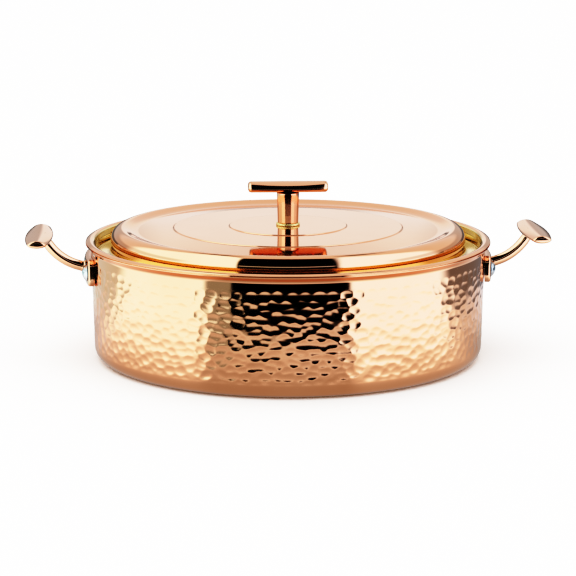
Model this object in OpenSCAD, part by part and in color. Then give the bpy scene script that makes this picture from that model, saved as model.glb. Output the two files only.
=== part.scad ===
// Round two-handled buffet soup kettle with a drop-in stepped lid.
// Millimetres, +Z up, origin on the pot's axis at the face it stands on; the side handles lie along X.

/* [Pot] */
// Outer radius of the hammered jacket just under the rim
jacket_r = 150; // [140:1:160]
// Lean of the jacket wall towards the base, in degrees
wall_lean = 1.4; // [0:0.1:3]
// Thickness of the jacket sheet
jacket_t = 1.2; // [0.8:0.1:2]
// Radius of the rounded bottom edge of the jacket
base_round = 10; // [6:0.5:16]
// Height of the rim's middle, where the flared lip is about as wide as it gets
rim_z = 88; // [80:1:120]
// Outer radius of the flared lip
lip_r = 154; // [152:0.1:158]
// Radius of the crown on top of the lip
lip_crown = 4.8; // [4:0.1:6]
// Radius of the lip's outer edge
lip_edge = 1.1; // [0.8:0.1:1.6]
// Radius of the hollow under the lip
lip_cove = 3.2; // [2:0.1:5]

/* [Liner] */
// Inner radius of the liner above the lid seat
throat_r = 147; // [140:0.5:150]
// Inner radius of the liner below the lid seat
liner_r = 141; // [130:0.5:145]
// Thickness of the liner sheet
liner_t = 1.2; // [0.8:0.1:2]
// Height of the seat that the lid rests on
seat_z = 79.8; // [70:0.2:110]

/* [Base] */
// Radius of the steel cap under the base
cap_r = 127.6; // [110:0.1:135]
// Thickness of the aluminium disc
core_h = 5.8; // [3:0.1:8]

/* [Lid] */
// Radius of the innermost step on the lid
step_1_r = 44.3; // [30:0.1:60]
// Radius of the second step on the lid
step_2_r = 86.6; // [70:0.1:100]
// Radius at the foot of the raised shoulder
crease_r = 114; // [100:0.5:120]
// Radius of the top of the raised shoulder
crest_r = 126.3; // [120:0.1:132]
// Radius of the shoulder's round section
shoulder_round = 8.6; // [6:0.1:12]
// Outer radius of the lid's folded hem
hem_r = 144.4; // [135:0.1:146]
// Thickness of the lid sheet
lid_t = 1; // [0.7:0.1:1.6]

/* [Knob] */
// Length of the bar
bar_len = 60.7; // [45:0.1:80]
// Width of the bar across its middle
bar_w = 22; // [16:0.5:28]
// Width of the bar across its ends
bar_end_w = 15; // [10:0.5:22]
// Diameter of the post where it stands on its collar
post_d = 15.6; // [12:0.1:20]
// Diameter of the post under the bar
post_top_d = 17; // [12:0.1:22]
// Length of the post
post_h = 23.2; // [15:0.1:40]
// Diameter of the collar
collar_d = 18; // [14:0.1:26]
// Height of the collar
collar_h = 1.8; // [1:0.1:5]

/* [Handles] */
// Length of a grip
grip_len = 80; // [60:1:100]
// Width of a grip across its middle
grip_w = 20.8; // [15:0.1:28]
// Width of a grip across its ends
grip_end_w = 13.6; // [10:0.1:20]
// Distance from the axis to the middle of a grip
grip_r = 188.9; // [175:0.1:205]
// Diameter of the round stem
stem_d = 8; // [6:0.1:11]
// Diameter of the stem where it enters the grip
stem_tip_d = 6.4; // [5:0.1:9]
// Radius of the stem's bend
stem_bend = 40; // [30:1:60]
// Width of the plate that carries a handle
plate_w = 66; // [50:1:80]
// Height of the plate
plate_h = 20; // [16:0.5:26]
// Thickness of the plate
plate_t = 4.6; // [3:0.1:6]
// Distance of the plate's middle below the rim's middle
plate_drop = 18; // [15:0.5:30]

/* [Rivets] */
// Diameter of a rivet head
rivet_head_d = 13.6; // [8:0.1:16]
// Height of a rivet head
rivet_head_h = 3.4; // [2:0.1:5]
// Radius of a rivet shank
rivet_r = 2.4; // [1.5:0.1:4]
// Angle of a rivet from the middle of its plate, in degrees
rivet_angle = 8.9; // [6:0.1:10]

/* [Hidden] */
$fn = 96;
rose = [0.80, 0.52, 0.36];
gold = [0.88, 0.70, 0.38];
brass = [0.90, 0.82, 0.52];
steel = [0.80, 0.80, 0.82];
fine_fn = 240;
// Clear gap between two parts that touch, and the wider one around the core
touch = 0.05;
gap = 0.2;
// Pot
foot_gap = 0.5;
cap_t = 0.9;
core_z = cap_t + gap;
floor_z = core_z + core_h + gap;
round_z = foot_gap + base_round;
liner_round = 9;
crown_r0 = lip_r - 3.5;
crown_z = rim_z - 1.5;
lip_flare = 50;
edge_run = lip_crown - lip_edge;
edge_turn = acos((lip_r - lip_edge - crown_r0) / edge_run);
edge_z = crown_z + edge_run * sin(edge_turn);
flare_r = lip_r - lip_edge * (1 - cos(lip_flare));
flare_z = edge_z - lip_edge * sin(lip_flare);
cove_in_r = jacket_r + lip_cove * (1 - cos(lip_flare));
cove_z = flare_z - (flare_r - cove_in_r) / tan(lip_flare) - lip_cove * sin(lip_flare);
throat_turn = 130;
throat_in = (crown_r0 + lip_crown * cos(throat_turn) - throat_r) / (1 + cos(throat_turn));
throat_edge_z = crown_z + (lip_crown - throat_in) * sin(throat_turn);
lip_under_z = rim_z - 2;
liner_top_z = lip_under_z - gap;
cap_edge = 1.5;
cap_top_z = core_z + core_h - 0.4;
plate_z = rim_z - plate_drop;
plate_r = jacket_r + touch;
plate_out_r = plate_r + plate_t;
plate_corner = 5;
// Rivets
hole_start = 12;
rivet_play = 0.2;
rivet_back = 3.2;
rivet_foot_r = 4.2;
rivet_foot_h = 1.8;
// Lid heights, all from the rim's middle
lid_top_z = rim_z + 12.5;
lid_step_h = 0.6;
step_run = 0.8;
ring_fall = 0.4;
ring_1_z = lid_top_z - lid_step_h;
ring_2_z = ring_1_z - ring_fall - lid_step_h;
shoulder_z = rim_z + 3.4;
lid_dish_z = rim_z + 9.4;
hem_bead = 1.1;
hem_z = seat_z + gap + hem_bead;
flange_z = hem_z + hem_bead - gap;
crease_round = 20;
slope = 22;
tuck = 25;
foot_round = 3;
side_drop = shoulder_z - shoulder_round * sin(tuck) - flange_z - foot_round * (1 + sin(tuck));
foot_r = crest_r + (shoulder_round + foot_round) * cos(tuck) - side_drop * tan(tuck);
// Knob heights
collar_z = lid_top_z + touch;
post_z = collar_z + collar_h + touch;
bar_z = post_z + post_h + touch;
bar_crown = 3.4;
bar_edge = 4.2;
bar_belly = 1;
screw_r = 2.9;
screw_hole_r = 3.1;
screw_l = 16;
screw_depth = 15;
screw_head_d = 10.6;
screw_tip_d = 8.6;
screw_head_h = 3.35;
washer_t = 1;
washer_d = 16;
washer_z = lid_top_z - lid_t - touch - washer_t;
// Grip heights
grip_z = rim_z + 2.8;
grip_crown = 2.6;
grip_edge = 1.6;
grip_belly = 1.6;
// Stem
stem_lift = 13;
stem_up = 55;
root_d = 13.1;
root_l = 3;
root_in = 2;
tip_l = 9.5;

// Points of an arc in the section plane, from angle a0 to a1
function arc(cr, cz, rad, a0, a1, n) =
  [for (i = [0 : n]) [cr + rad * cos(a0 + (a1 - a0) * i / n), cz + rad * sin(a0 + (a1 - a0) * i / n)]];

// A list in reverse order
function reverse(v) = [for (i = [len(v) - 1 : -1 : 0]) v[i]];

// Circle radius of a crown of the given rise over a half width
function crown_r(half, rise) = (half * half + rise * rise) / (2 * rise);

// Outline of the jacket's wall up to height z, moved in by t
function jacket_side(t, z) = concat(
  arc(jacket_r_at(round_z) - base_round, round_z, base_round - t, -90, -wall_lean, 10),
  [[jacket_r_at(z) - t, z]]);

// Outline of the flared lip: hollow, outer edge, crown and the inner edge over the throat
function lip_line() = concat(
  arc(jacket_r + lip_cove, cove_z, lip_cove, 180, 180 - lip_flare, 6),
  arc(lip_r - lip_edge, edge_z, lip_edge, -lip_flare, edge_turn - 6, 8),
  arc(crown_r0, crown_z, lip_crown, edge_turn, throat_turn, 10),
  arc(throat_r + throat_in, throat_edge_z, throat_in, throat_turn + 10, 180, 4));

// Outer radius of the jacket at a height
function jacket_r_at(z) = jacket_r - (cove_z - z) * tan(wall_lean);

// Outline of the liner's lower wall, moved out by t
function liner_side(t) = concat(
  [[0, floor_z + liner_t - t]],
  arc(liner_r - liner_round, floor_z + liner_t + liner_round, liner_round + t, -90, 0, 9));

// Top line of the lid from the middle to the hem, moved in by t: two low steps, a dished ring, the raised
// shoulder and the fillet at its foot
function lid_line(t) = concat(
  [[screw_hole_r, lid_top_z - t]],
  [[step_1_r - t / 2, lid_top_z - t]],
  [[step_1_r + step_run - t / 2, ring_1_z - t]],
  [[step_2_r - t / 2, ring_1_z - ring_fall - t]],
  [[step_2_r + step_run - t / 2, ring_2_z - t]],
  arc(crease_r, lid_dish_z + crease_round, crease_round + t, -90, slope - 90, 5),
  arc(crest_r, shoulder_z, shoulder_round - t, 90 + slope, -tuck, 16),
  arc(foot_r, flange_z + foot_round, foot_round + t, 180 - tuck, 270, 6));

// Bar with a crowned top and a bellied underside; its sides are two long arcs, cut square at the ends
module paddle(len, w, end_w, crown, edge, belly) {
  side_r = crown_r(len / 2, (w - end_w) / 2);
  low_r = crown_r(w / 2, belly);
  top_r = crown_r(w / 2, crown);
  top = belly + edge + crown;
  intersection() {
    linear_extrude(height = top) intersection() {
      translate([0, w / 2 - side_r]) circle(r = side_r);
      translate([0, side_r - w / 2]) circle(r = side_r);
      square([len, 2 * w], center = true);
    }
    translate([0, 0, top - top_r]) rotate([0, 90, 0]) cylinder(r = top_r, h = 2 * len, center = true);
    translate([0, 0, low_r]) rotate([0, 90, 0]) cylinder(r = low_r, h = 2 * len, center = true);
  }
}

// Handle parts are drawn on the right; this half turn puts them on the left
module left_side() {
  rotate([0, 0, 180]) children();
}

// Places its children on the two rivet axes of the right handle, at radius r, pointing outwards
module rivet_axis(r) {
  for (side = [-1, 1])
    translate([0, 0, plate_z]) rotate([0, 0, side * rivet_angle])
      translate([r, 0, 0]) rotate([0, 90, 0]) children();
}

// Holes for both rivets of the right handle
module rivet_holes() {
  rivet_axis(jacket_r - hole_start) cylinder(r = rivet_r + rivet_play, h = hole_start + plate_t + 2);
}

// Hammered outer wall with the flared lip on top
module jacket() {
  color(rose) difference() {
    rotate_extrude() polygon(concat(
      [[cap_r + 1, foot_gap]],
      jacket_side(0, cove_z - 1),
      lip_line(),
      [[throat_r, lip_under_z]],
      reverse(jacket_side(jacket_t, lip_under_z)),
      [[cap_r + 1, foot_gap + jacket_t]]));
    rivet_holes();
    left_side() rivet_holes();
  }
}

// Inner pot with the ledge that carries the lid
module liner() {
  color(gold) rotate_extrude() polygon(concat(
    liner_side(liner_t),
    [[liner_r + liner_t, seat_z - liner_t]],
    [[throat_r + liner_t, seat_z - liner_t]],
    [[throat_r + liner_t, liner_top_z]],
    [[throat_r, liner_top_z]],
    [[throat_r, seat_z]],
    [[liner_r, seat_z]],
    reverse(liner_side(0))));
}

module base_core() {
  color(steel) translate([0, 0, core_z]) cylinder(r = cap_r - cap_t - gap, h = core_h);
}

module base_cap() {
  color(steel) rotate_extrude() polygon([
    [0, 0],
    [cap_r - cap_edge, 0],
    [cap_r, cap_edge],
    [cap_r, cap_top_z],
    [cap_r - cap_t, cap_top_z],
    [cap_r - cap_t, cap_t],
    [0, cap_t]]);
}

module lid_shell() {
  color(rose) rotate_extrude() polygon(concat(
    lid_line(0),
    arc(hem_r - hem_bead, hem_z, hem_bead, 125, -175, 20),
    reverse(lid_line(lid_t))));
}

module knob_collar() {
  color(brass) translate([0, 0, collar_z]) difference() {
    cylinder(d = collar_d, h = collar_h);
    translate([0, 0, -1]) cylinder(r = screw_hole_r + gap, h = collar_h + 2);
  }
}

module knob_post() {
  color(rose) translate([0, 0, post_z]) difference() {
    cylinder(d1 = post_d, d2 = post_top_d, h = post_h);
    translate([0, 0, -1]) cylinder(r = screw_hole_r, h = screw_depth);
  }
}

module knob_bar() {
  color(rose) translate([0, 0, bar_z])
    paddle(bar_len, bar_w, bar_end_w, bar_crown, bar_edge, bar_belly);
}

module knob_screw() {
  head_z = washer_z - touch;
  color(steel) union() {
    translate([0, 0, head_z - screw_head_h]) cylinder(d1 = screw_tip_d, d2 = screw_head_d, h = screw_head_h);
    translate([0, 0, head_z - 1]) cylinder(r = screw_r, h = screw_l);
  }
}

module knob_washer() {
  color(steel) translate([0, 0, washer_z]) difference() {
    cylinder(d = washer_d, h = washer_t);
    translate([0, 0, -1]) cylinder(r = screw_hole_r, h = washer_t + 2);
  }
}

module handle_plate() {
  color(rose) difference() {
    intersection() {
      translate([0, 0, plate_z - plate_h / 2]) difference() {
        cylinder(r = plate_out_r, h = plate_h, $fn = fine_fn);
        translate([0, 0, -1]) cylinder(r = plate_r, h = plate_h + 2, $fn = fine_fn);
      }
      translate([0, 0, plate_z]) rotate([90, 0, 90]) linear_extrude(height = 2 * jacket_r) plate_outline();
    }
    rivet_holes();
  }
}

// Oblong with rounded corners
module plate_outline() {
  inner_w = plate_w - 2 * plate_corner;
  inner_h = plate_h - 2 * plate_corner;
  square([inner_w, plate_h], center = true);
  square([plate_w, inner_h], center = true);
  for (x = [-1, 1])
    for (y = [-1, 1])
      translate([x * inner_w / 2, y * inner_h / 2]) circle(r = plate_corner);
}

// Round stem: a flared root on the plate, a bend, and a straight tapered tip that runs into the grip
module handle_stem() {
  start_x = plate_out_r + touch;
  bend_x = start_x + root_l * cos(stem_lift) - stem_bend * sin(stem_lift);
  bend_z = plate_z + root_l * sin(stem_lift) + stem_bend * cos(stem_lift);
  end_x = bend_x + stem_bend * sin(stem_up);
  end_z = bend_z - stem_bend * cos(stem_up);
  color(rose) difference() {
    union() {
      translate([start_x, 0, plate_z]) rotate([0, 90 - stem_lift, 0]) translate([0, 0, -root_in])
        cylinder(d1 = root_d, d2 = stem_d + 0.3, h = root_l + root_in + 1);
      translate([bend_x, 0, bend_z]) rotate([90, 0, 0]) rotate([0, 0, stem_lift - 90])
        rotate_extrude(angle = stem_up - stem_lift) translate([stem_bend, 0]) circle(d = stem_d);
      translate([end_x, 0, end_z]) rotate([0, 90 - stem_up, 0]) translate([0, 0, -1])
        cylinder(d1 = stem_d - 0.1, d2 = stem_tip_d, h = tip_l + 1);
    }
    translate([0, 0, plate_z - plate_h]) cylinder(r = start_x, h = 2 * plate_h, $fn = fine_fn);
  }
}

module handle_grip() {
  color(rose) translate([grip_r, 0, grip_z]) rotate([0, 0, 90])
    paddle(grip_len, grip_w, grip_end_w, grip_crown, grip_edge, grip_belly);
}

// Two domed rivets, each with its shank and the flat foot inside the jacket
module rivet_pair() {
  ball_r = crown_r(rivet_head_d / 2, rivet_head_h);
  head_z = plate_out_r + touch;
  color(steel) rivet_axis(0) union() {
    intersection() {
      translate([0, 0, head_z]) cylinder(d = 2 * rivet_head_d, h = rivet_head_h + 1);
      translate([0, 0, head_z + rivet_head_h - ball_r]) sphere(r = ball_r);
    }
    translate([0, 0, jacket_r - rivet_back]) cylinder(r = rivet_r, h = head_z - jacket_r + rivet_back + 1);
    translate([0, 0, jacket_r - rivet_back - rivet_foot_h / 3]) cylinder(r = rivet_foot_r, h = rivet_foot_h);
  }
}

module handle_plate_left() { left_side() handle_plate(); }

module handle_plate_right() { handle_plate(); }

module handle_stem_left() { left_side() handle_stem(); }

module handle_stem_right() { handle_stem(); }

module handle_grip_left() { left_side() handle_grip(); }

module handle_grip_right() { handle_grip(); }

module rivets_left() { left_side() rivet_pair(); }

module rivets_right() { rivet_pair(); }

jacket();
liner();
base_core();
base_cap();
lid_shell();
knob_collar();
knob_post();
knob_bar();
knob_screw();
knob_washer();
handle_plate_left();
handle_plate_right();
handle_stem_left();
handle_stem_right();
handle_grip_left();
handle_grip_right();
rivets_left();
rivets_right();
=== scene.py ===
"""Looks of the hammered buffet pot: turned parts, a hammered wall, soft-edged bars, studio light."""
import math

import bpy
import numpy as np
from mathutils import Matrix, Vector


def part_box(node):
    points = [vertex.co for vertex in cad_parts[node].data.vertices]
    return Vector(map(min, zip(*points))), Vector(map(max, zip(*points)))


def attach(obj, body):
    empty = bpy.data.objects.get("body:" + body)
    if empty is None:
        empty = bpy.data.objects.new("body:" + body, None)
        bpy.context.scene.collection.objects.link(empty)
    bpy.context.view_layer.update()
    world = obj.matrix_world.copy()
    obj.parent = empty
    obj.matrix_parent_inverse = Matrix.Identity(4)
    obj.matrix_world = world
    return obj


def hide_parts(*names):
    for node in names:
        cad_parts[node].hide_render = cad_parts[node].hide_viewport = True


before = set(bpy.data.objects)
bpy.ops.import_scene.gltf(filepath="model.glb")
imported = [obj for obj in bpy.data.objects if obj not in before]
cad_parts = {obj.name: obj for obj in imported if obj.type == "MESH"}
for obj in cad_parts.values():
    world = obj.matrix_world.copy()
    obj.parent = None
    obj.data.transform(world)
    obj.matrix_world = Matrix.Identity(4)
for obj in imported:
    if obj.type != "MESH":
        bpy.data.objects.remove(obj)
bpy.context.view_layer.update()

MM = 0.001

# Camera, as the photograph has it: angles in degrees, lengths in millimetres
CAM_AZIMUTH = -3.3
CAM_ELEVATION = 11.42
CAM_DISTANCE = 1700
CAM_LENS = 139.25
AIM_FORWARD = 7.1
AIM_HEIGHT = 52.8

# Sizes that the boxes don't give, in millimetres, as in the part's source
JACKET_R = 150
WALL_LEAN = math.radians(1.4)
BASE_ROUND = 10
SHEET_T = 1.2
THROAT_R = 147
SEAT_Z = 79.8
LINER_R = 141
LINER_CORNER = 9
CAP_R = 127.6
PLATE_Z = 70
PLATE_W = 66
PLATE_H = 20
PLATE_T = 4.6
RIVET_ANGLE = math.radians(8.9)
PLATE_GAP = 0.05
# Corners sharper than this stay sharp in the shading
SHARP = math.radians(55)


def top_mm(node):
    """Highest corner of a node's box in millimetres."""
    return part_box(node)[1] / MM


def low_mm(node):
    """Lowest corner of a node's box in millimetres."""
    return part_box(node)[0] / MM


# ---------------------------------------------------------------- outlines

def arc(cx, cz, radius, start, end, steps):
    """Points of an arc, angles in degrees."""
    angles = np.radians(np.linspace(start, end, steps + 1))
    return [(cx + radius * math.cos(a), cz + radius * math.sin(a)) for a in angles]


def crown_radius(half, rise):
    """Radius of the circle that rises by rise over a half width."""
    return (half * half + rise * rise) / (2 * rise)


def refined(points, longest, guard=0.35):
    """The outline with long segments cut up, and a short segment kept next to each of their ends."""
    out = [points[0]]
    for a, b in zip(points, points[1:]):
        length = math.dist(a, b)
        if length > 4 * guard:
            inner = max(1, math.ceil((length - 2 * guard) / longest))
            shares = [guard / length + (1 - 2 * guard / length) * i / inner for i in range(inner + 1)]
            out += [(a[0] + (b[0] - a[0]) * s, a[1] + (b[1] - a[1]) * s) for s in shares]
        out.append(b)
    return out


def rounded(points, radii, steps=5):
    """An open outline with its inner corners rounded; radii has one radius for each inner point."""
    out = [points[0]]
    for i, radius in enumerate(radii, start=1):
        p, q, r = (np.array(points[j], float) for j in (i - 1, i, i + 1))
        if radius <= 0:
            out.append(tuple(q))
            continue
        a, b = (p - q) / np.linalg.norm(p - q), (r - q) / np.linalg.norm(r - q)
        half = math.acos(max(-1, min(1, float(a @ b)))) / 2
        reach = radius / math.tan(half)
        bisector = (a + b) / np.linalg.norm(a + b)
        centre = q + bisector * radius / math.sin(half)
        u, v = q + a * reach - centre, q + b * reach - centre
        turn = math.acos(max(-1, min(1, float(u @ v) / radius ** 2)))
        for k in range(steps + 1):
            s = k / steps
            w = (math.sin((1 - s) * turn) * u + math.sin(s * turn) * v) / math.sin(turn)
            out.append(tuple(centre + w))
    out.append(tuple(points[-1]))
    return out


# ---------------------------------------------------------------- meshes

def new_object(name, verts, faces, body, node, material):
    """A mesh piece, smooth but for its sharp corners, that rides on a body and stands for a CAD node."""
    mesh = bpy.data.meshes.new(name)
    mesh.from_pydata([tuple(v) for v in np.asarray(verts, float) * MM], [], faces)
    mesh.validate()
    mesh.polygons.foreach_set("use_smooth", [True] * len(mesh.polygons))
    mesh.set_sharp_from_angle(angle=SHARP)
    mesh.update()
    obj = bpy.data.objects.new(name, mesh)
    bpy.context.scene.collection.objects.link(obj)
    obj.data.materials.append(material)
    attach(obj, body)
    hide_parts(node)
    return obj


def second_material(obj, material, test):
    """Gives a second material to the faces whose centre (r, z in millimetres) passes the test."""
    obj.data.materials.append(material)
    faces = obj.data.polygons
    centres = np.empty(3 * len(faces))
    faces.foreach_get("center", centres)
    x, y, z = centres.reshape(-1, 3).T / MM
    faces.foreach_set("material_index", test(np.hypot(x, y), z).astype(np.int32))


def grid_faces(rows, columns, close_rows):
    """Quads between neighbouring closed rings; the last ring joins the first if asked."""
    faces = []
    last = rows if close_rows else rows - 1
    for i in range(last):
        a, b = i * columns, (i + 1) % rows * columns
        for j in range(columns):
            k = (j + 1) % columns
            faces.append((a + j, a + k, b + k, b + j))
    return faces


def lathe_mesh(outline, columns, push=None):
    """Vertices and faces of an outline turned about Z. A point on the axis becomes one vertex.
    The outline runs anticlockwise seen with the axis on the left, so faces look outwards."""
    turn = np.linspace(0, 2 * math.pi, columns, endpoint=False)
    ends = (outline[0][0] < 1e-6, outline[-1][0] < 1e-6)
    rings = outline[1 if ends[0] else 0:-1 if ends[1] else None]
    r = np.array([p[0] for p in rings])[:, None] + (push if push is not None else 0)
    z = np.array([p[1] for p in rings])[:, None] + 0 * turn[None, :]
    verts = np.stack([r * np.cos(turn), r * np.sin(turn), z], axis=-1).reshape(-1, 3)
    faces = grid_faces(len(rings), columns, close_rows=not any(ends))
    for end, row in ((ends[0], 0), (ends[1], len(rings) - 1)):
        if not end:
            continue
        pole = len(verts)
        verts = np.vstack([verts, [0, 0, outline[0 if row == 0 else -1][1]]])
        for j in range(columns):
            a, b = row * columns + j, row * columns + (j + 1) % columns
            faces.append((pole, b, a) if row == 0 else (pole, a, b))
    return verts, faces


# ---------------------------------------------------------------- hammered wall

HAMMER_TOP = 78.4
HAMMER_LOW = 10.5
HAMMER_ROW = 4.8
HAMMER_PITCH = 9.5
FIRST_ROW = 6.0
HOLLOW_X = 38
HOLLOW_Z = 19
HOLLOW_DEPTH = 0.34
WALL_COLUMNS = 840
WALL_ROWS = 102
SEAM_Z = 79.4
FIRST_DROP = 3.5
HAMMER_SEED = 7
# How far one blow is worked out around its centre
BLOW_REACH_X = 8
BLOW_REACH_Z = 5


def hammer_sites(rng):
    """Blows round the unrolled wall: a neat first row, then ever looser rows.
    Each has its centre, two radii, depth, two tilts and spin."""
    around = 2 * math.pi * JACKET_R
    sites = []
    z = HAMMER_TOP - FIRST_DROP
    row = 0
    while z > HAMMER_LOW - 2:
        loose = min(1.0, row / 1.5)
        count = round(around / (HAMMER_PITCH * rng.uniform(0.94, 1.06)))
        start = rng.uniform(0, 1)
        for i in range(count):
            sites.append((
                (i + start + rng.normal(0, 0.04 + 0.20 * loose)) * around / count,
                z + rng.normal(0, 0.10 + 1.15 * loose),
                HOLLOW_X * rng.uniform(0.80, 1.20),
                HOLLOW_Z * rng.uniform(0.80, 1.20),
                HOLLOW_DEPTH * rng.uniform(0.72, 1.18),
                rng.normal(0, 0.012 * loose),
                rng.normal(0, 0.012 * loose),
                rng.normal(0, 0.22 * loose),
            ))
        z -= FIRST_ROW if row == 0 else HAMMER_ROW
        row += 1
    return sites


def hammer_field(heights, columns):
    """Depth of the blows, at most 0, over heights x columns of the wall, in millimetres."""
    rng = np.random.default_rng(HAMMER_SEED)
    around = 2 * math.pi * JACKET_R
    step = around / columns
    heights = np.asarray(heights)
    field = np.zeros((len(heights), columns))
    for x, z, round_x, round_z, depth, tilt_x, tilt_z, spin in hammer_sites(rng):
        rows = np.nonzero(np.abs(heights - z) < BLOW_REACH_Z)[0]
        if not len(rows):
            continue
        reach = int(BLOW_REACH_X / step) + 1
        cols = np.arange(int(x / step) - reach, int(x / step) + reach + 1)
        dx = cols[None, :] * step - x
        dz = heights[rows][:, None] - z
        u = dx * math.cos(spin) + dz * math.sin(spin)
        v = dz * math.cos(spin) - dx * math.sin(spin)
        dish = u * u / (2 * round_x) + v * v / (2 * round_z) - depth + dx * tilt_x + dz * tilt_z
        picked = np.ix_(rows, cols % columns)
        field[picked] = np.minimum(field[picked], dish)
    fade = np.clip((heights - HAMMER_LOW) / 4, 0, 1) * np.clip((HAMMER_TOP + 0.9 - heights) / 0.6, 0, 1)
    return field * fade[:, None]


def wall_r(z):
    """Outer radius of the wall at height z."""
    return JACKET_R - (WALL_TOP - z) * math.tan(WALL_LEAN)


def build_wall(material):
    """Hammered wall with its rounded base, one closed sheet."""
    foot = low_mm("jacket").z
    round_z = foot + BASE_ROUND
    round_r = wall_r(round_z) - BASE_ROUND
    low = arc(round_r, round_z, BASE_ROUND, -90, -math.degrees(WALL_LEAN), 9)
    heights = list(np.linspace(round_z + 0.4, SEAM_Z, WALL_ROWS))
    wall = [(wall_r(z), z) for z in heights]
    inner = [(wall_r(SEAM_Z) - SHEET_T, SEAM_Z), (wall_r(round_z) - SHEET_T, round_z)]
    inner += arc(round_r, round_z, BASE_ROUND - SHEET_T, -30, -90, 2)
    outline = [(CAP_R + 1, foot + SHEET_T), (CAP_R + 1, foot)] + low + wall + inner
    push = np.zeros((len(outline), WALL_COLUMNS))
    first = 2 + len(low)
    push[first:first + len(wall)] = hammer_field(heights, WALL_COLUMNS)
    verts, faces = lathe_mesh(outline, WALL_COLUMNS, push)
    new_object("hammered_wall", verts, faces, "pot", "jacket", material)


LIP_CROWN = 4.8
LIP_EDGE = 1.1
LIP_COVE = 3.2
CROWN_R = 150.5
CROWN_Z = 86.5
EDGE_TURN = 49.6
FLARE = 50
WALL_TOP = 83.95
THROAT_ROUND = 1.16
SEAM_DEEP = 1.5
SEAM_TALL = 0.68
SEAM_ROUND = 0.12
SEAM_STEP = 0.42
COVE_START = 0.4


def build_lip(material, inside):
    """Flared lip, one closed sheet: the wall's top, a cove, an edge with a groove, a crown, the throat."""
    lip_r = top_mm("jacket").x
    edge_z = CROWN_Z + (LIP_CROWN - LIP_EDGE) * math.sin(math.radians(EDGE_TURN))
    under_z = CROWN_Z - 0.5
    outline = refined(
        [(wall_r(SEAM_Z), SEAM_Z), (wall_r(WALL_TOP - COVE_START), WALL_TOP - COVE_START)]
        + arc(JACKET_R + LIP_COVE, WALL_TOP, LIP_COVE, 180, 180 - FLARE, 8)
        + arc(lip_r - LIP_EDGE, edge_z, LIP_EDGE, -FLARE, 0, 6)
        + [(lip_r - SEAM_DEEP, edge_z + 0.05), (lip_r - SEAM_DEEP, edge_z + SEAM_TALL)]
        + arc(lip_r - SEAM_STEP, edge_z + SEAM_TALL + SEAM_ROUND, SEAM_ROUND, -90, EDGE_TURN, 3)
        + arc(CROWN_R, CROWN_Z, LIP_CROWN, EDGE_TURN + 1, 130, 16)
        + arc(THROAT_R + THROAT_ROUND, edge_z, THROAT_ROUND, 140, 180, 4)
        + [(THROAT_R, under_z), (JACKET_R - SHEET_T, under_z), (wall_r(SEAM_Z) - SHEET_T, SEAM_Z)],
        3, 0.3)
    verts, faces = lathe_mesh(outline, 420)
    lip = new_object("flared_lip", verts, faces, "pot", "jacket", material)
    second_material(lip, inside, lambda r, z: r < THROAT_R + 1.0)


# ---------------------------------------------------------------- turned parts

def build_liner(material):
    """Inner pot: floor, corner, wall, lid seat and throat."""
    low, high = low_mm("liner"), top_mm("liner")
    floor = low.z + SHEET_T
    inside = [(0, floor), (LINER_R, floor), (LINER_R, SEAT_Z), (THROAT_R, SEAT_Z), (THROAT_R, high.z)]
    outside = [(high.x, high.z), (high.x, SEAT_Z - SHEET_T), (LINER_R + SHEET_T, SEAT_Z - SHEET_T),
               (LINER_R + SHEET_T, low.z), (0, low.z)]
    inside = rounded(inside, [LINER_CORNER, 1.2, 1.0], 8)
    outside = rounded(outside, [1.6, 0.6, LINER_CORNER + SHEET_T], 5)
    outline = refined(inside, 6) + refined(outside, 20)
    verts, faces = lathe_mesh(outline[::-1], 360)
    return new_object("inner_pot", verts, faces, "pot", "liner", material)


def build_base(material):
    """Steel cap on the underside, with a soft edge."""
    low, high = low_mm("base_cap"), top_mm("base_cap")
    t = 0.9
    r = high.x
    outer = [(0, low.z), (r, low.z), (r, high.z), (r - t, high.z), (r - t, low.z + t), (0, low.z + t)]
    outer = rounded(outer, [1.6, 0.35, 0.35, 0.5], 5)
    verts, faces = lathe_mesh(refined(outer, 8), 256)
    return new_object("base_disc", verts, faces, "pot", "base_cap", material)


LID_STEP_1 = 44.3
LID_STEP_2 = 86.6
LID_CREASE = 114
STEP_RUN = 1.0
LID_CREST = 126.3
SHOULDER = 8.6
SLOPE = 22
TUCK = 25
HEM = 1.1
LID_STEP_H = 0.6
RING_FALL = 1.0
SHOULDER_DROP = 9.1
DISH_DROP = 3.1
DISH_R = 20
SCREW_HOLE_R = 3.1
INSIDE_DEPTH = 0.5
# The lid is golden inside and below this height
GILT_Z = 87


def shell_z():
    """Height of the shoulder's centre."""
    return top_mm("lid_shell").z - SHOULDER_DROP


def lid_line(t):
    """The lid's top line from the middle to the foot of its wall, moved in by t."""
    top = top_mm("lid_shell").z
    shoulder_z, dish_z = shell_z(), top - DISH_DROP
    hem_z = low_mm("lid_shell").z + HEM
    flange_z = hem_z + HEM - 0.2
    foot = 3
    tuck = math.radians(TUCK)
    drop = shoulder_z - SHOULDER * math.sin(tuck) - flange_z - foot * (1 + math.sin(tuck))
    foot_r = LID_CREST + (SHOULDER + foot) * math.cos(tuck) - drop * math.tan(tuck)
    line = [(SCREW_HOLE_R, top - t)]
    for radius, high in ((LID_STEP_1, top), (LID_STEP_2, top - RING_FALL)):
        line += [(radius + STEP_RUN * s - t / 2, high - t - LID_STEP_H * s * s * (3 - 2 * s))
                 for s in np.linspace(0, 1, 7)]
    line += arc(LID_CREASE, dish_z + DISH_R, DISH_R + t, -90, SLOPE - 90, 8)
    line += arc(LID_CREST, shoulder_z, SHOULDER - t, 90 + SLOPE, -TUCK, 26)
    line += arc(foot_r, flange_z + foot, foot + t, 180 - TUCK, 270, 10)
    return line


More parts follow.
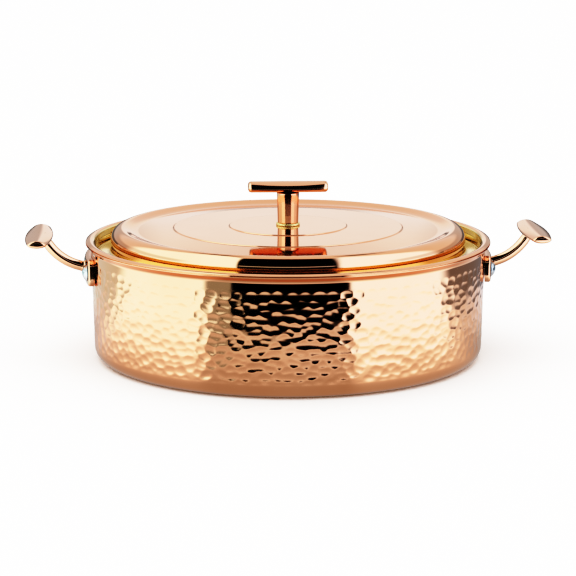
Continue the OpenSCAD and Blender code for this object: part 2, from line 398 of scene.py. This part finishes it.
def build_lid(material, inside):
    """Pressed lid: two low steps, a dished ring, a raised shoulder, a narrow flange and a rolled hem."""
    hem_r = top_mm("lid_shell").x
    hem_z = low_mm("lid_shell").z + HEM
    hem = arc(hem_r - HEM, hem_z, HEM, 125, -175, 16)
    outline = refined(lid_line(0), 4) + hem + refined(lid_line(1)[::-1], 6)
    verts, faces = lathe_mesh(outline[::-1], 400)
    lid = new_object("lid", verts, faces, "lid", "lid_shell", material)
    centre_z = shell_z()
    reach, height = np.array([p for p in lid_line(0) if p[0] <= LID_CREST and p[1] > centre_z]).T

    def is_inside(r, z):
        under = (r < LID_CREST) & (z < np.interp(r, reach, height) - INSIDE_DEPTH)
        from_crest = np.hypot(r - LID_CREST, z - centre_z)
        round_the_crest = (r >= LID_CREST) & (from_crest < SHOULDER - INSIDE_DEPTH)
        return (z < GILT_Z) | under | round_the_crest

    second_material(lid, inside, is_inside)


def build_post(post_material, collar_material):
    """The knob's post and the collar under it."""
    low, high = low_mm("knob_post"), top_mm("knob_post")
    wide, foot = high.x, 7.8
    post = rounded([(0, low.z), (foot, low.z), (wide, high.z), (0, high.z)], [0.5, 0.3], 4)
    verts, faces = lathe_mesh(refined(post, 4), 128)
    new_object("post", verts, faces, "lid", "knob_post", post_material)
    low, high = low_mm("knob_collar"), top_mm("knob_collar")
    r, hole = high.x, 3.3
    ring = [(hole, high.z), (hole, low.z), (r, low.z), (r, high.z), (hole, high.z)]
    ring = rounded(ring, [0.2, 0.5, 0.6], 4)
    verts, faces = lathe_mesh(ring[:-1], 128)
    new_object("collar", verts, faces, "lid", "knob_collar", collar_material)


# ---------------------------------------------------------------- bars, stems, plates and rivets

BAR_CORNER = 1.15


def build_bar(name, node, body, length, width, end_width, crown, edge, belly, soft, material, turned):
    """A flat bar with a crowned top, a bellied underside, curved sides and soft ends, at its node's place."""
    low, high = low_mm(node), top_mm(node)
    centre = (low + high) / 2
    side_r = crown_radius(length / 2, (width - end_width) / 2)
    stations = np.concatenate([
        -length / 2 + soft * (1 - np.cos(np.linspace(0, math.pi / 2, 8))),
        np.linspace(-length / 2 + soft, length / 2 - soft, 41)[1:-1],
        length / 2 - soft * (1 - np.cos(np.linspace(math.pi / 2, 0, 8))),
    ])
    rings = []
    for x in stations:
        half_w = width / 2 - side_r + math.sqrt(side_r ** 2 - x * x)
        near_end = max(0.0, abs(x) - (length / 2 - soft)) / soft
        inset = soft * (1 - math.sqrt(max(0.0, 1 - near_end ** 2)))
        rings.append(bar_ring(x, half_w, crown, edge, belly, inset))
    rings = np.array(rings)
    count = rings.shape[1]
    verts = rings.reshape(-1, 3)
    faces = grid_faces(len(rings), count, close_rows=False)
    faces = [f[::-1] for f in faces]
    faces.append(tuple(range(count)))
    faces.append(tuple(reversed(range(len(verts) - count, len(verts)))))
    if turned:
        verts = verts[:, [1, 0, 2]] * [1, -1, 1]
    verts = verts + [centre.x, centre.y, low.z]
    return new_object(name, verts, faces, body, node, material)


def bar_corner(half_w, z, start, end, side):
    """Points of the soft corner at one side of a bar's section, angles in degrees above level."""
    points = []
    for a in np.radians(np.linspace(start, end, 5)):
        across = half_w - BAR_CORNER + BAR_CORNER * math.cos(a)
        points.append((side * across, z + BAR_CORNER * math.sin(a)))
    return points


def bar_ring(x, half_w, crown, edge, belly, inset):
    """One closed section of a bar at station x, drawn in by inset."""
    top = belly + edge + crown
    top_r, low_r = crown_radius(half_w, crown), crown_radius(half_w, belly)
    side_low, side_high = belly + BAR_CORNER * 0.9, belly + edge - BAR_CORNER * 0.6
    outline = []
    for s in np.linspace(-1, 1, 15)[1:-1]:
        y = s * (half_w - BAR_CORNER)
        outline.append((y, low_r - math.sqrt(low_r ** 2 - y * y)))
    outline += bar_corner(half_w, side_low, -60, 0, 1)
    outline += bar_corner(half_w, side_high, 0, 60, 1)
    for s in np.linspace(1, -1, 19)[1:-1]:
        y = s * (half_w - BAR_CORNER)
        outline.append((y, top - top_r + math.sqrt(top_r ** 2 - y * y)))
    outline += bar_corner(half_w, side_high, 60, 0, -1)
    outline += bar_corner(half_w, side_low, 0, -60, -1)
    mid = top / 2
    fy, fz = 1 - inset / half_w, 1 - min(inset, mid * 0.98) / mid
    return [(x, y * fy, mid + (z - mid) * fz) for y, z in outline]


def build_stem(name, node, side, material):
    """Round stem from the plate to the grip: a flared root, a bend and a tapered tip."""
    start_x, bend, lift, up = 154.75, 40, math.radians(13), math.radians(55)
    buried, root, tip = 0.9, 3.0, 9.5
    stem_r, flare, taper = 4.0, 2.5, 0.8
    line, radii = [], []
    for s in np.linspace(-buried, root, 8):
        line.append((start_x + s * math.cos(lift), PLATE_Z + s * math.sin(lift)))
        fall = (s + buried) / (root + buried)
        radii.append(stem_r + flare * (1 - math.sqrt(max(0, 1 - (1 - fall) ** 2))))
    cx, cz = line[-1][0] - bend * math.sin(lift), line[-1][1] + bend * math.cos(lift)
    for a in np.linspace(lift, up, 20)[1:]:
        line.append((cx + bend * math.sin(a), cz - bend * math.cos(a)))
        radii.append(stem_r)
    ex, ez = line[-1]
    for s in np.linspace(0, tip, 10)[1:]:
        line.append((ex + s * math.cos(up), ez + s * math.sin(up)))
        radii.append(stem_r - taper * s / tip)
    count = 40
    angles = np.linspace(0, 2 * math.pi, count, endpoint=False)
    points = np.array(line)
    tangents = np.gradient(points, axis=0)
    tangents /= np.linalg.norm(tangents, axis=1)[:, None]
    verts = []
    for (x, z), (tx, tz), r in zip(points, tangents, radii):
        for a in angles:
            verts.append((x - tz * r * math.cos(a), r * math.sin(a), z + tx * r * math.cos(a)))
    verts = np.array(verts)
    faces = grid_faces(len(points), count, close_rows=False)
    faces.append(tuple(reversed(range(count))))
    faces.append(tuple(range(len(verts) - count, len(verts))))
    verts[:, :2] *= side
    return new_object(name, verts, faces, "pot", node, material)


def oblong(half_w, half_h, radius, steps=8):
    """Points of an oblong with rounded corners, anticlockwise."""
    points = []
    for sx, sy, start in ((1, -1, -90), (1, 1, 0), (-1, 1, 90), (-1, -1, 180)):
        cx, cy = sx * (half_w - radius), sy * (half_h - radius)
        points += arc(cx, cy, radius, start, start + 90, steps)
    return points


def build_plate(name, node, side, material):
    """Handle plate curved to the wall, with soft outer edges."""
    inner_r = JACKET_R + PLATE_GAP
    soft = 1.7
    corner = 5
    count = 120
    levels = [(0.0, 0.0), (0.6, 0.0), (PLATE_T - soft, 0.0)]
    levels += [(PLATE_T - soft + soft * math.sin(a), soft * (1 - math.cos(a)))
               for a in np.radians([15, 30, 45, 60, 75, 90])]
    levels += [(PLATE_T, soft + d) for d in (0.5, 1.5, 2.6)]
    rings = []
    for out, inset in levels:
        ring = oblong(PLATE_W / 2 - inset, PLATE_H / 2 - inset, max(0.4, corner - inset))
        ring = refined(ring + [ring[0]], 3, 0.8)[:-1]
        rings.append([(inner_r + out, y, z) for y, z in ring])
    rings = [resample(r, count) for r in rings]
    verts = np.array(rings).reshape(-1, 3)
    faces = grid_faces(len(rings), count, close_rows=False)
    verts, faces = close_plate(verts, faces, count, len(rings))
    angle = verts[:, 1] / inner_r
    r = verts[:, 0].copy()
    verts = np.stack([r * np.cos(angle), r * np.sin(angle), PLATE_Z + verts[:, 2]], axis=1)
    verts[:, :2] *= side
    return new_object(name, verts, faces, "pot", node, material)


def resample(ring, count):
    """A closed ring with count evenly spaced points."""
    p = np.array(ring + [ring[0]])
    d = np.concatenate([[0], np.cumsum(np.linalg.norm(np.diff(p, axis=0), axis=1))])
    s = np.linspace(0, d[-1], count, endpoint=False)
    return [tuple(np.interp(v, d, p[:, k]) for k in range(3)) for v in s]


def close_plate(verts, faces, count, rings):
    """Fills the front and the back of a plate with strips that follow the wall's curve."""
    extra = list(verts)
    for row, flip in ((0, True), (rings - 1, False)):
        ring = verts[row * count:(row + 1) * count]
        previous = list(range(row * count, (row + 1) * count))
        for share in (0.75, 0.5, 0.25):
            scaled = ring.copy()
            scaled[:, 2] *= share
            start = len(extra)
            extra += list(scaled)
            new = list(range(start, start + count))
            for j in range(count):
                k = (j + 1) % count
                quad = (previous[j], previous[k], new[k], new[j])
                faces.append(quad[::-1] if flip else quad)
            previous = new
        faces += seam_faces(previous, ring, flip)
    return np.array(extra), faces


def seam_faces(loop, ring, flip):
    """Quads that close a flat loop across its long middle line."""
    count = len(loop)
    lowest = int(np.argmin([p[1] for p in ring]))
    order = loop[lowest:] + loop[:lowest]
    faces = []
    for j in range(count // 2 - 1):
        quad = (order[j], order[j + 1], order[-j - 2], order[-j - 1])
        faces.append(quad[::-1] if flip else quad)
    return [tuple(dict.fromkeys(f)) for f in faces if len(set(f)) > 2]


def build_rivets(name, node, side, material):
    """Two domed rivets with a soft rim, each with its shank and the foot behind the wall."""
    head_z, head_r, head_h = JACKET_R + PLATE_GAP + PLATE_T + PLATE_GAP, 6.8, 3.4
    shank_r, foot_r, foot_low, foot_high = 2.4, 4.2, -8.8, -7.0
    ball = crown_radius(head_r, head_h)
    dome_start = 90 - math.degrees(math.asin((head_r - 0.25) / ball))
    dome = arc(0, head_h - ball, ball, dome_start, 90, 12)
    outline = [(0, foot_low), (foot_r, foot_low), (foot_r, foot_high), (shank_r, foot_high), (shank_r, 0),
               (head_r - 0.3, 0), (head_r, 0.2)]
    outline += dome[:-1] + [(0, head_h)]
    verts, faces = lathe_mesh(outline, 64)
    all_verts, all_faces = [], []
    for s in (-1, 1):
        turn = Matrix.Rotation(s * RIVET_ANGLE, 3, "Z") @ Matrix.Rotation(math.pi / 2, 3, "Y")
        placed = np.array([turn @ Vector((x, y, z + head_z)) for x, y, z in verts])
        placed[:, 2] += PLATE_Z
        placed[:, :2] *= side
        start = len(verts) * len(all_verts)
        all_verts.append(placed)
        all_faces += [tuple(i + start for i in f) for f in faces]
    return new_object(name, np.vstack(all_verts), all_faces, "pot", node, material)


# ---------------------------------------------------------------- materials

def node_tree(name):
    """A new material with a Principled shader; returns the material, its tree and the shader."""
    material = bpy.data.materials.new(name)
    material.use_nodes = True
    tree = material.node_tree
    return material, tree, tree.nodes["Principled BSDF"]


def add(tree, kind, **values):
    """A node with some of its inputs or properties set."""
    n = tree.nodes.new(kind)
    for key, value in values.items():
        if key in n.inputs:
            n.inputs[key].default_value = value
        else:
            setattr(n, key, value)
    return n


def metal(name, color, deep, roughness, spread, fine=900.0, bump=0.02):
    """Polished metal: cloudy tone, roughness that drifts, and a faint polishing texture."""
    material, tree, shader = node_tree(name)
    link = tree.links.new
    coords = add(tree, "ShaderNodeTexCoord")
    cloud = add(tree, "ShaderNodeTexNoise", Scale=22.0, Detail=4.0, Roughness=0.6)
    link(coords.outputs["Object"], cloud.inputs["Vector"])
    tone = add(tree, "ShaderNodeValToRGB")
    tone.color_ramp.elements[0].position, tone.color_ramp.elements[1].position = 0.3, 0.7
    tone.color_ramp.elements[0].color = (*deep, 1)
    tone.color_ramp.elements[1].color = (*color, 1)
    link(cloud.outputs["Fac"], tone.inputs["Fac"])
    link(tone.outputs["Color"], shader.inputs["Base Color"])
    wipe = add(tree, "ShaderNodeTexNoise", Scale=60.0, Detail=5.0, Roughness=0.65)
    link(coords.outputs["Object"], wipe.inputs["Vector"])
    rough = add(tree, "ShaderNodeMapRange")
    rough.inputs["From Min"].default_value, rough.inputs["From Max"].default_value = 0.3, 0.7
    rough.inputs["To Min"].default_value = roughness
    rough.inputs["To Max"].default_value = roughness + spread
    link(wipe.outputs["Fac"], rough.inputs["Value"])
    link(rough.outputs["Result"], shader.inputs["Roughness"])
    dust = add(tree, "ShaderNodeTexNoise", Scale=fine, Detail=2.0, Roughness=0.5)
    link(coords.outputs["Object"], dust.inputs["Vector"])
    relief = add(tree, "ShaderNodeBump", Strength=bump, Distance=0.0002)
    link(dust.outputs["Fac"], relief.inputs["Height"])
    link(relief.outputs["Normal"], shader.inputs["Normal"])
    shader.inputs["Metallic"].default_value = 1.0
    return material


def turned_metal(name, color, deep, roughness, spread, pitch):
    """Brushed or turned metal with fine rings about the pot's axis."""
    material, tree, shader = node_tree(name)
    link = tree.links.new
    coords = add(tree, "ShaderNodeTexCoord")
    rings = add(tree, "ShaderNodeTexWave", wave_type="RINGS", rings_direction="Z", Scale=pitch,
                Distortion=1.2, Detail=3.0)
    link(coords.outputs["Object"], rings.inputs["Vector"])
    tone = add(tree, "ShaderNodeValToRGB")
    tone.color_ramp.elements[0].color = (*deep, 1)
    tone.color_ramp.elements[1].color = (*color, 1)
    cloud = add(tree, "ShaderNodeTexNoise", Scale=18.0, Detail=4.0)
    link(coords.outputs["Object"], cloud.inputs["Vector"])
    link(cloud.outputs["Fac"], tone.inputs["Fac"])
    link(tone.outputs["Color"], shader.inputs["Base Color"])
    rough = add(tree, "ShaderNodeMapRange")
    rough.inputs["To Min"].default_value = roughness
    rough.inputs["To Max"].default_value = roughness + spread
    link(rings.outputs["Fac"], rough.inputs["Value"])
    link(rough.outputs["Result"], shader.inputs["Roughness"])
    relief = add(tree, "ShaderNodeBump", Strength=0.15, Distance=0.0002)
    link(rings.outputs["Fac"], relief.inputs["Height"])
    link(relief.outputs["Normal"], shader.inputs["Normal"])
    shader.inputs["Metallic"].default_value = 1.0
    return material


ROSE = (0.90, 0.485, 0.30)
ROSE_DEEP = (0.87, 0.455, 0.275)
COPPER = (0.88, 0.50, 0.33)
COPPER_DEEP = (0.85, 0.46, 0.29)
GOLD = (0.90, 0.69, 0.36)
GOLD_DEEP = (0.87, 0.65, 0.32)
BRASS = (0.92, 0.78, 0.42)
BRASS_DEEP = (0.88, 0.72, 0.36)
STEEL = (0.68, 0.67, 0.67)
STEEL_DEEP = (0.58, 0.57, 0.57)
SATIN = (0.66, 0.66, 0.68)
SATIN_DEEP = (0.58, 0.58, 0.60)
ALLOY = (0.80, 0.80, 0.82)
ALLOY_DEEP = (0.72, 0.72, 0.74)

hammered = metal("rose_gold_hammered", ROSE, ROSE_DEEP, 0.07, 0.07)
polished = metal("rose_gold_polished", ROSE, ROSE_DEEP, 0.035, 0.04, bump=0.008)
cast = metal("rose_gold_cast", COPPER, COPPER_DEEP, 0.06, 0.06, bump=0.015)
brass = metal("pale_brass", BRASS, BRASS_DEEP, 0.42, 0.12, fine=1500.0, bump=0.05)
gilt = metal("gold_polished", GOLD, GOLD_DEEP, 0.06, 0.05, bump=0.01)
bright = metal("bright_steel", STEEL, STEEL_DEEP, 0.08, 0.10, bump=0.02)
satin = turned_metal("satin_steel", SATIN, SATIN_DEEP, 0.24, 0.16, 260.0)
alloy = turned_metal("core_aluminium", ALLOY, ALLOY_DEEP, 0.35, 0.15, 200.0)

build_wall(hammered)
build_lip(polished, gilt)
build_liner(gilt)
build_base(satin)
build_lid(polished, gilt)
build_post(cast, brass)
build_bar("knob_bar_soft", "knob_bar", "lid", 60.7, 22, 15, 4.4, 1.6, 2.6, 2.4, cast, False)
for side, word in ((1, "right"), (-1, "left")):
    build_bar("grip_" + word, "handle_grip_" + word, "pot", 80, 20.8, 13.6, 2.6, 1.6, 1.6, 2.0, cast, True)
    build_stem("stem_" + word, "handle_stem_" + word, side, cast)
    build_plate("plate_" + word, "handle_plate_" + word, side, cast)
    build_rivets("rivet_pair_" + word, "rivets_" + word, side, bright)

for name, material in (("base_core", alloy), ("knob_screw", bright), ("knob_washer", bright)):
    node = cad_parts[name]
    node.data.materials.clear()
    node.data.materials.append(material)

# ---------------------------------------------------------------- studio


# The floor lies this far under the pot, in metres
FLOOR_GAP = 0.0002
FLOOR_HALF = 9.0


def floor():
    """Wide pale floor, not mirrored by the metal: a card of its own stands for it there."""
    mesh = bpy.data.meshes.new("floor")
    corners = ((-1, -1), (1, -1), (1, 1), (-1, 1))
    mesh.from_pydata([(x * FLOOR_HALF, y * FLOOR_HALF, -FLOOR_GAP) for x, y in corners], [], [(0, 1, 2, 3)])
    obj = bpy.data.objects.new("floor", mesh)
    bpy.context.scene.collection.objects.link(obj)
    material, _, shader = node_tree("pale_floor")
    shader.inputs["Base Color"].default_value = (0.93, 0.93, 0.93, 1)
    shader.inputs["Roughness"].default_value = 0.9
    shader.inputs["Specular IOR Level"].default_value = 0.1
    mesh.materials.append(material)
    obj.visible_glossy = False


def ease(value, low, high):
    """0 at low, 1 at high, smooth between."""
    s = np.clip((value - low) / (high - low), 0, 1)
    return s * s * (3 - 2 * s)


def mix(a, b, share):
    """From a to b by share."""
    return a + (b - a) * share


# Brightness of the studio as the metal mirrors it; 1 is about the tone of a white card
BRIGHT = 2.15
# Level of the floor card beside the pot: painted shadow of the pot on the floor
NEAR_FLOOR_SHADOW = 0.50
FRONT_REACH = 0.165
ROOF = 0.95
BACK_BAND = 1.12
BACK_DIM = 0.62
BACK_LOW = 0.22
SIDE_LOW = 1.35
FRONT_BAND = 0.75
LEFT_TINT = np.array([0.80, 1.0, 1.02])
RIGHT_TINT = np.array([0.80, 0.95, 1.12])
PLAIN_TINT = np.array([1.0, 1.0, 1.0])
# Edges of the floor card's zones in front of the pot: distance to the side, slope and depth, in metres
BLACK_LEFT = (0.041, 0.624, 0.144)
TAN_LEFT = (0.060, 1.07, 0.137)
BLACK_RIGHT = (0.046, 0.69, 0.143)


def past_line(side, y, line):
    """How far a point lies outside one of those edges."""
    start, slope, depth = line
    return side - (start + slope * (-y - depth))


def floor_light(x, y):
    """Brightness of the floor card: a painted shadow of the pot close around it, darkest under its foot,
    bright at both sides, dark in front and behind.
    """
    away = np.hypot(x, y) - JACKET_R * MM
    # Painted shadow: the floor card dims close to the pot and goes dark under its foot, where the pot shades
    # the floor
    shadowed_floor = mix(0.10, mix(NEAR_FLOOR_SHADOW, 1.0, ease(away, 0.0, 0.17)), ease(away, -0.022, -0.004))
    past_left = past_line(-x, y, BLACK_LEFT)
    past_tan = past_line(-x, y, TAN_LEFT)
    past_right = past_line(x, y, BLACK_RIGHT)
    front = shadowed_floor * (1 - ease(away, FRONT_REACH - 0.02, FRONT_REACH + 0.04))
    tan = mix(shadowed_floor, mix(0.50, 1.3, ease(away, 0.32, 0.55)), ease(away, 0.06, 0.2))
    side = mix(shadowed_floor, BRIGHT, ease(away, -0.03, 0.20))
    back_left = mix(shadowed_floor, 0.95, ease(away, 0.05, 0.2))
    back_right = mix(shadowed_floor, 0.34, ease(away, 0.16, 0.24))
    left = mix(tan, side, ease(past_tan, -0.01, 0.03))
    left = mix(left, back_left, ease(y, 0.0, 0.09))
    right = mix(side, back_right, ease(y, -0.07, 0.02))
    level = mix(front, left, ease(past_left, -0.004, 0.008))
    level = mix(level, right, ease(past_right, -0.006, 0.020))
    level = mix(level, BACK_LOW, ease(y, 0.45, 0.8) * (1 - ease(np.abs(x) - 0.9 * y, -0.1, 0.1)))
    tint = mix(LEFT_TINT, RIGHT_TINT, ease(x, -0.1, 0.1)[:, None])
    far = ease(away, 0.05, 0.25)[:, None]
    return level[:, None] * mix(PLAIN_TINT, tint, far)


def tent_light(x, y, z):
    """Brightness of the tent by direction: bright sides, a dim roof, a brighter band low behind,
    and a dark flag in front that runs up to the top, with a dim band across it."""
    past = np.abs(x) - (0.27 - 0.30 * y) * np.where(x < 0, 1.0, 0.95)
    side = BRIGHT * ease(past, -0.01, np.where(x < 0, 0.02, 0.07))
    band = mix(BACK_BAND, BACK_DIM, ease(np.abs(x), 0.085, 0.13))
    back = mix(band, ROOF, ease(z, 0.24, 0.34))
    back = mix(BACK_LOW, back, ease(z, 0.05, 0.10))
    shade = ease(np.abs(x), 0.11, 0.14) * (1 - ease(np.abs(x), 0.20, 0.25))
    shade = shade * ease(z, 0.62, 0.70) * (1 - ease(z, 0.80, 0.86))
    back = mix(back, 0.18, shade)
    edge = np.where(x < 0, 0.50, 0.30)
    behind = ease(y, 0.16, 0.19) * np.where(np.abs(x) > 0.22, ease(y, edge - 0.08, edge + 0.12), 1.0)
    low_side = ease(z, 0.04, 0.10) * (1 - ease(z, 0.30, 0.42)) * ease(past, 0.0, 0.12)
    low_side = low_side * ease(y, -0.45, -0.2)
    side = mix(side, np.minimum(side, SIDE_LOW), low_side)
    high_front = ease(z, 0.205, 0.225) * (1 - ease(z, 0.33, 0.36)) * (1 - ease(past, -0.03, 0.0))
    side = mix(side, FRONT_BAND, high_front)
    level = mix(side, back, behind)
    tint = mix(LEFT_TINT, RIGHT_TINT, ease(x, -0.35, 0.35)[:, None])
    tint = mix(tint, PLAIN_TINT, behind[:, None])
    return np.maximum(level, 0.008)[:, None] * tint


def glow_material():
    """Emission that takes its colour from the card's own vertex colours."""
    material = bpy.data.materials.new("card_glow")
    material.use_nodes = True
    tree = material.node_tree
    tree.nodes.clear()
    colour = add(tree, "ShaderNodeVertexColor", layer_name="glow")
    glow = add(tree, "ShaderNodeEmission", Strength=1.0)
    tree.links.new(colour.outputs["Color"], glow.inputs["Color"])
    out = tree.nodes.new("ShaderNodeOutputMaterial")
    tree.links.new(glow.outputs["Emission"], out.inputs["Surface"])
    material.cycles.emission_sampling = "NONE"
    return material


def mirrored_card(name, verts, faces, colours, material):
    """A card that only the metal sees."""
    mesh = bpy.data.meshes.new(name)
    mesh.from_pydata([tuple(v) for v in verts], [], faces)
    layer = mesh.color_attributes.new("glow", "FLOAT_COLOR", "POINT")
    opaque = np.hstack([colours, np.ones((len(colours), 1))])
    layer.data.foreach_set("color", opaque.astype(np.float32).ravel())
    mesh.materials.append(material)
    obj = bpy.data.objects.new(name, mesh)
    obj.rotation_euler = (0, 0, math.radians(CAM_AZIMUTH))
    bpy.context.scene.collection.objects.link(obj)
    obj.visible_camera = False
    obj.visible_diffuse = False
    obj.visible_shadow = False
    obj.visible_transmission = False


FLOOR_RINGS = 150
DOME_RINGS = 160
CARD_COLUMNS = 480
DOME_R = 6.9


def light_tent():
    """The floor card and the dome over it."""
    material = glow_material()
    columns = CARD_COLUMNS
    turn = np.linspace(0, 2 * math.pi, columns, endpoint=False)
    reach = np.geomspace(0.10, 7.0, FLOOR_RINGS)
    level = np.full((FLOOR_RINGS, columns), -FLOOR_GAP / 2)
    verts = np.stack([np.outer(reach, np.cos(turn)), np.outer(reach, np.sin(turn)), level], -1).reshape(-1, 3)
    faces = grid_faces(FLOOR_RINGS, columns, close_rows=False)
    mirrored_card("floor_card", verts, faces, floor_light(verts[:, 0], verts[:, 1]), material)
    rise = np.radians(np.linspace(-0.5, 89.7, DOME_RINGS))
    verts = np.stack([np.outer(np.cos(rise), np.cos(turn)), np.outer(np.cos(rise), np.sin(turn)),
                      np.outer(np.sin(rise), np.ones(columns))], -1).reshape(-1, 3)
    faces = grid_faces(DOME_RINGS, columns, close_rows=False)
    faces.append(tuple(range((DOME_RINGS - 1) * columns, DOME_RINGS * columns)))
    mirrored_card("dome_card", verts * DOME_R, faces, tent_light(*verts.T), material)


def plain_world():
    """Even soft light for the floor and the background."""
    world = bpy.data.worlds.new("studio")
    bpy.context.scene.world = world
    world.use_nodes = True
    background = world.node_tree.nodes["Background"]
    background.inputs["Color"].default_value = (1.0, 0.995, 0.985, 1)
    background.inputs["Strength"].default_value = 1.25


def top_light():
    """Broad soft light from above for the floor; the metal doesn't mirror it."""
    data = bpy.data.lights.new("soft_top", "SUN")
    data.energy = 2.3
    data.angle = math.radians(80)
    data.color = (1.0, 0.99, 0.97)
    obj = bpy.data.objects.new("soft_top", data)
    obj.rotation_euler = (math.radians(12), math.radians(-8), 0)
    obj.visible_glossy = False
    bpy.context.scene.collection.objects.link(obj)


WHITE = 2.4
TONE = ((0.0, 0.0), (0.05, 0.007), (0.10, 0.024), (0.20, 0.105), (0.30, 0.215), (0.50, 0.46),
        (0.86, 0.79), (1.24, 0.925), (1.65, 0.985), (WHITE, 1.0))


def tone():
    """Contrast of the picture: a soft toe and a soft shoulder."""
    scene = bpy.context.scene
    scene.view_settings.view_transform = "Standard"
    scene.view_settings.use_curve_mapping = True
    mapping = scene.view_settings.curve_mapping
    mapping.white_level = (WHITE, WHITE, WHITE)
    curve = mapping.curves[3]
    places = [(level / WHITE, shown) for level, shown in TONE]
    curve.points[0].location = places[0]
    curve.points[-1].location = places[-1]
    for place in places[1:-1]:
        curve.points.new(*place)
    mapping.update()


def camera():
    """The photograph's camera."""
    a, e = math.radians(CAM_AZIMUTH), math.radians(CAM_ELEVATION)
    back = Vector((math.sin(a) * math.cos(e), -math.cos(a) * math.cos(e), math.sin(e)))
    aim = Vector((AIM_FORWARD * math.sin(a), -AIM_FORWARD * math.cos(a), AIM_HEIGHT))
    data = bpy.data.cameras.new("camera")
    data.lens = CAM_LENS
    data.sensor_width = 36
    data.clip_start, data.clip_end = 0.05, 60
    obj = bpy.data.objects.new("camera", data)
    obj.location = (aim + back * CAM_DISTANCE) * MM
    obj.rotation_mode = "QUATERNION"
    obj.rotation_quaternion = (-back).to_track_quat("-Z", "Y")
    bpy.context.scene.collection.objects.link(obj)
    bpy.context.scene.camera = obj


floor()
light_tent()
plain_world()
top_light()
tone()
camera()
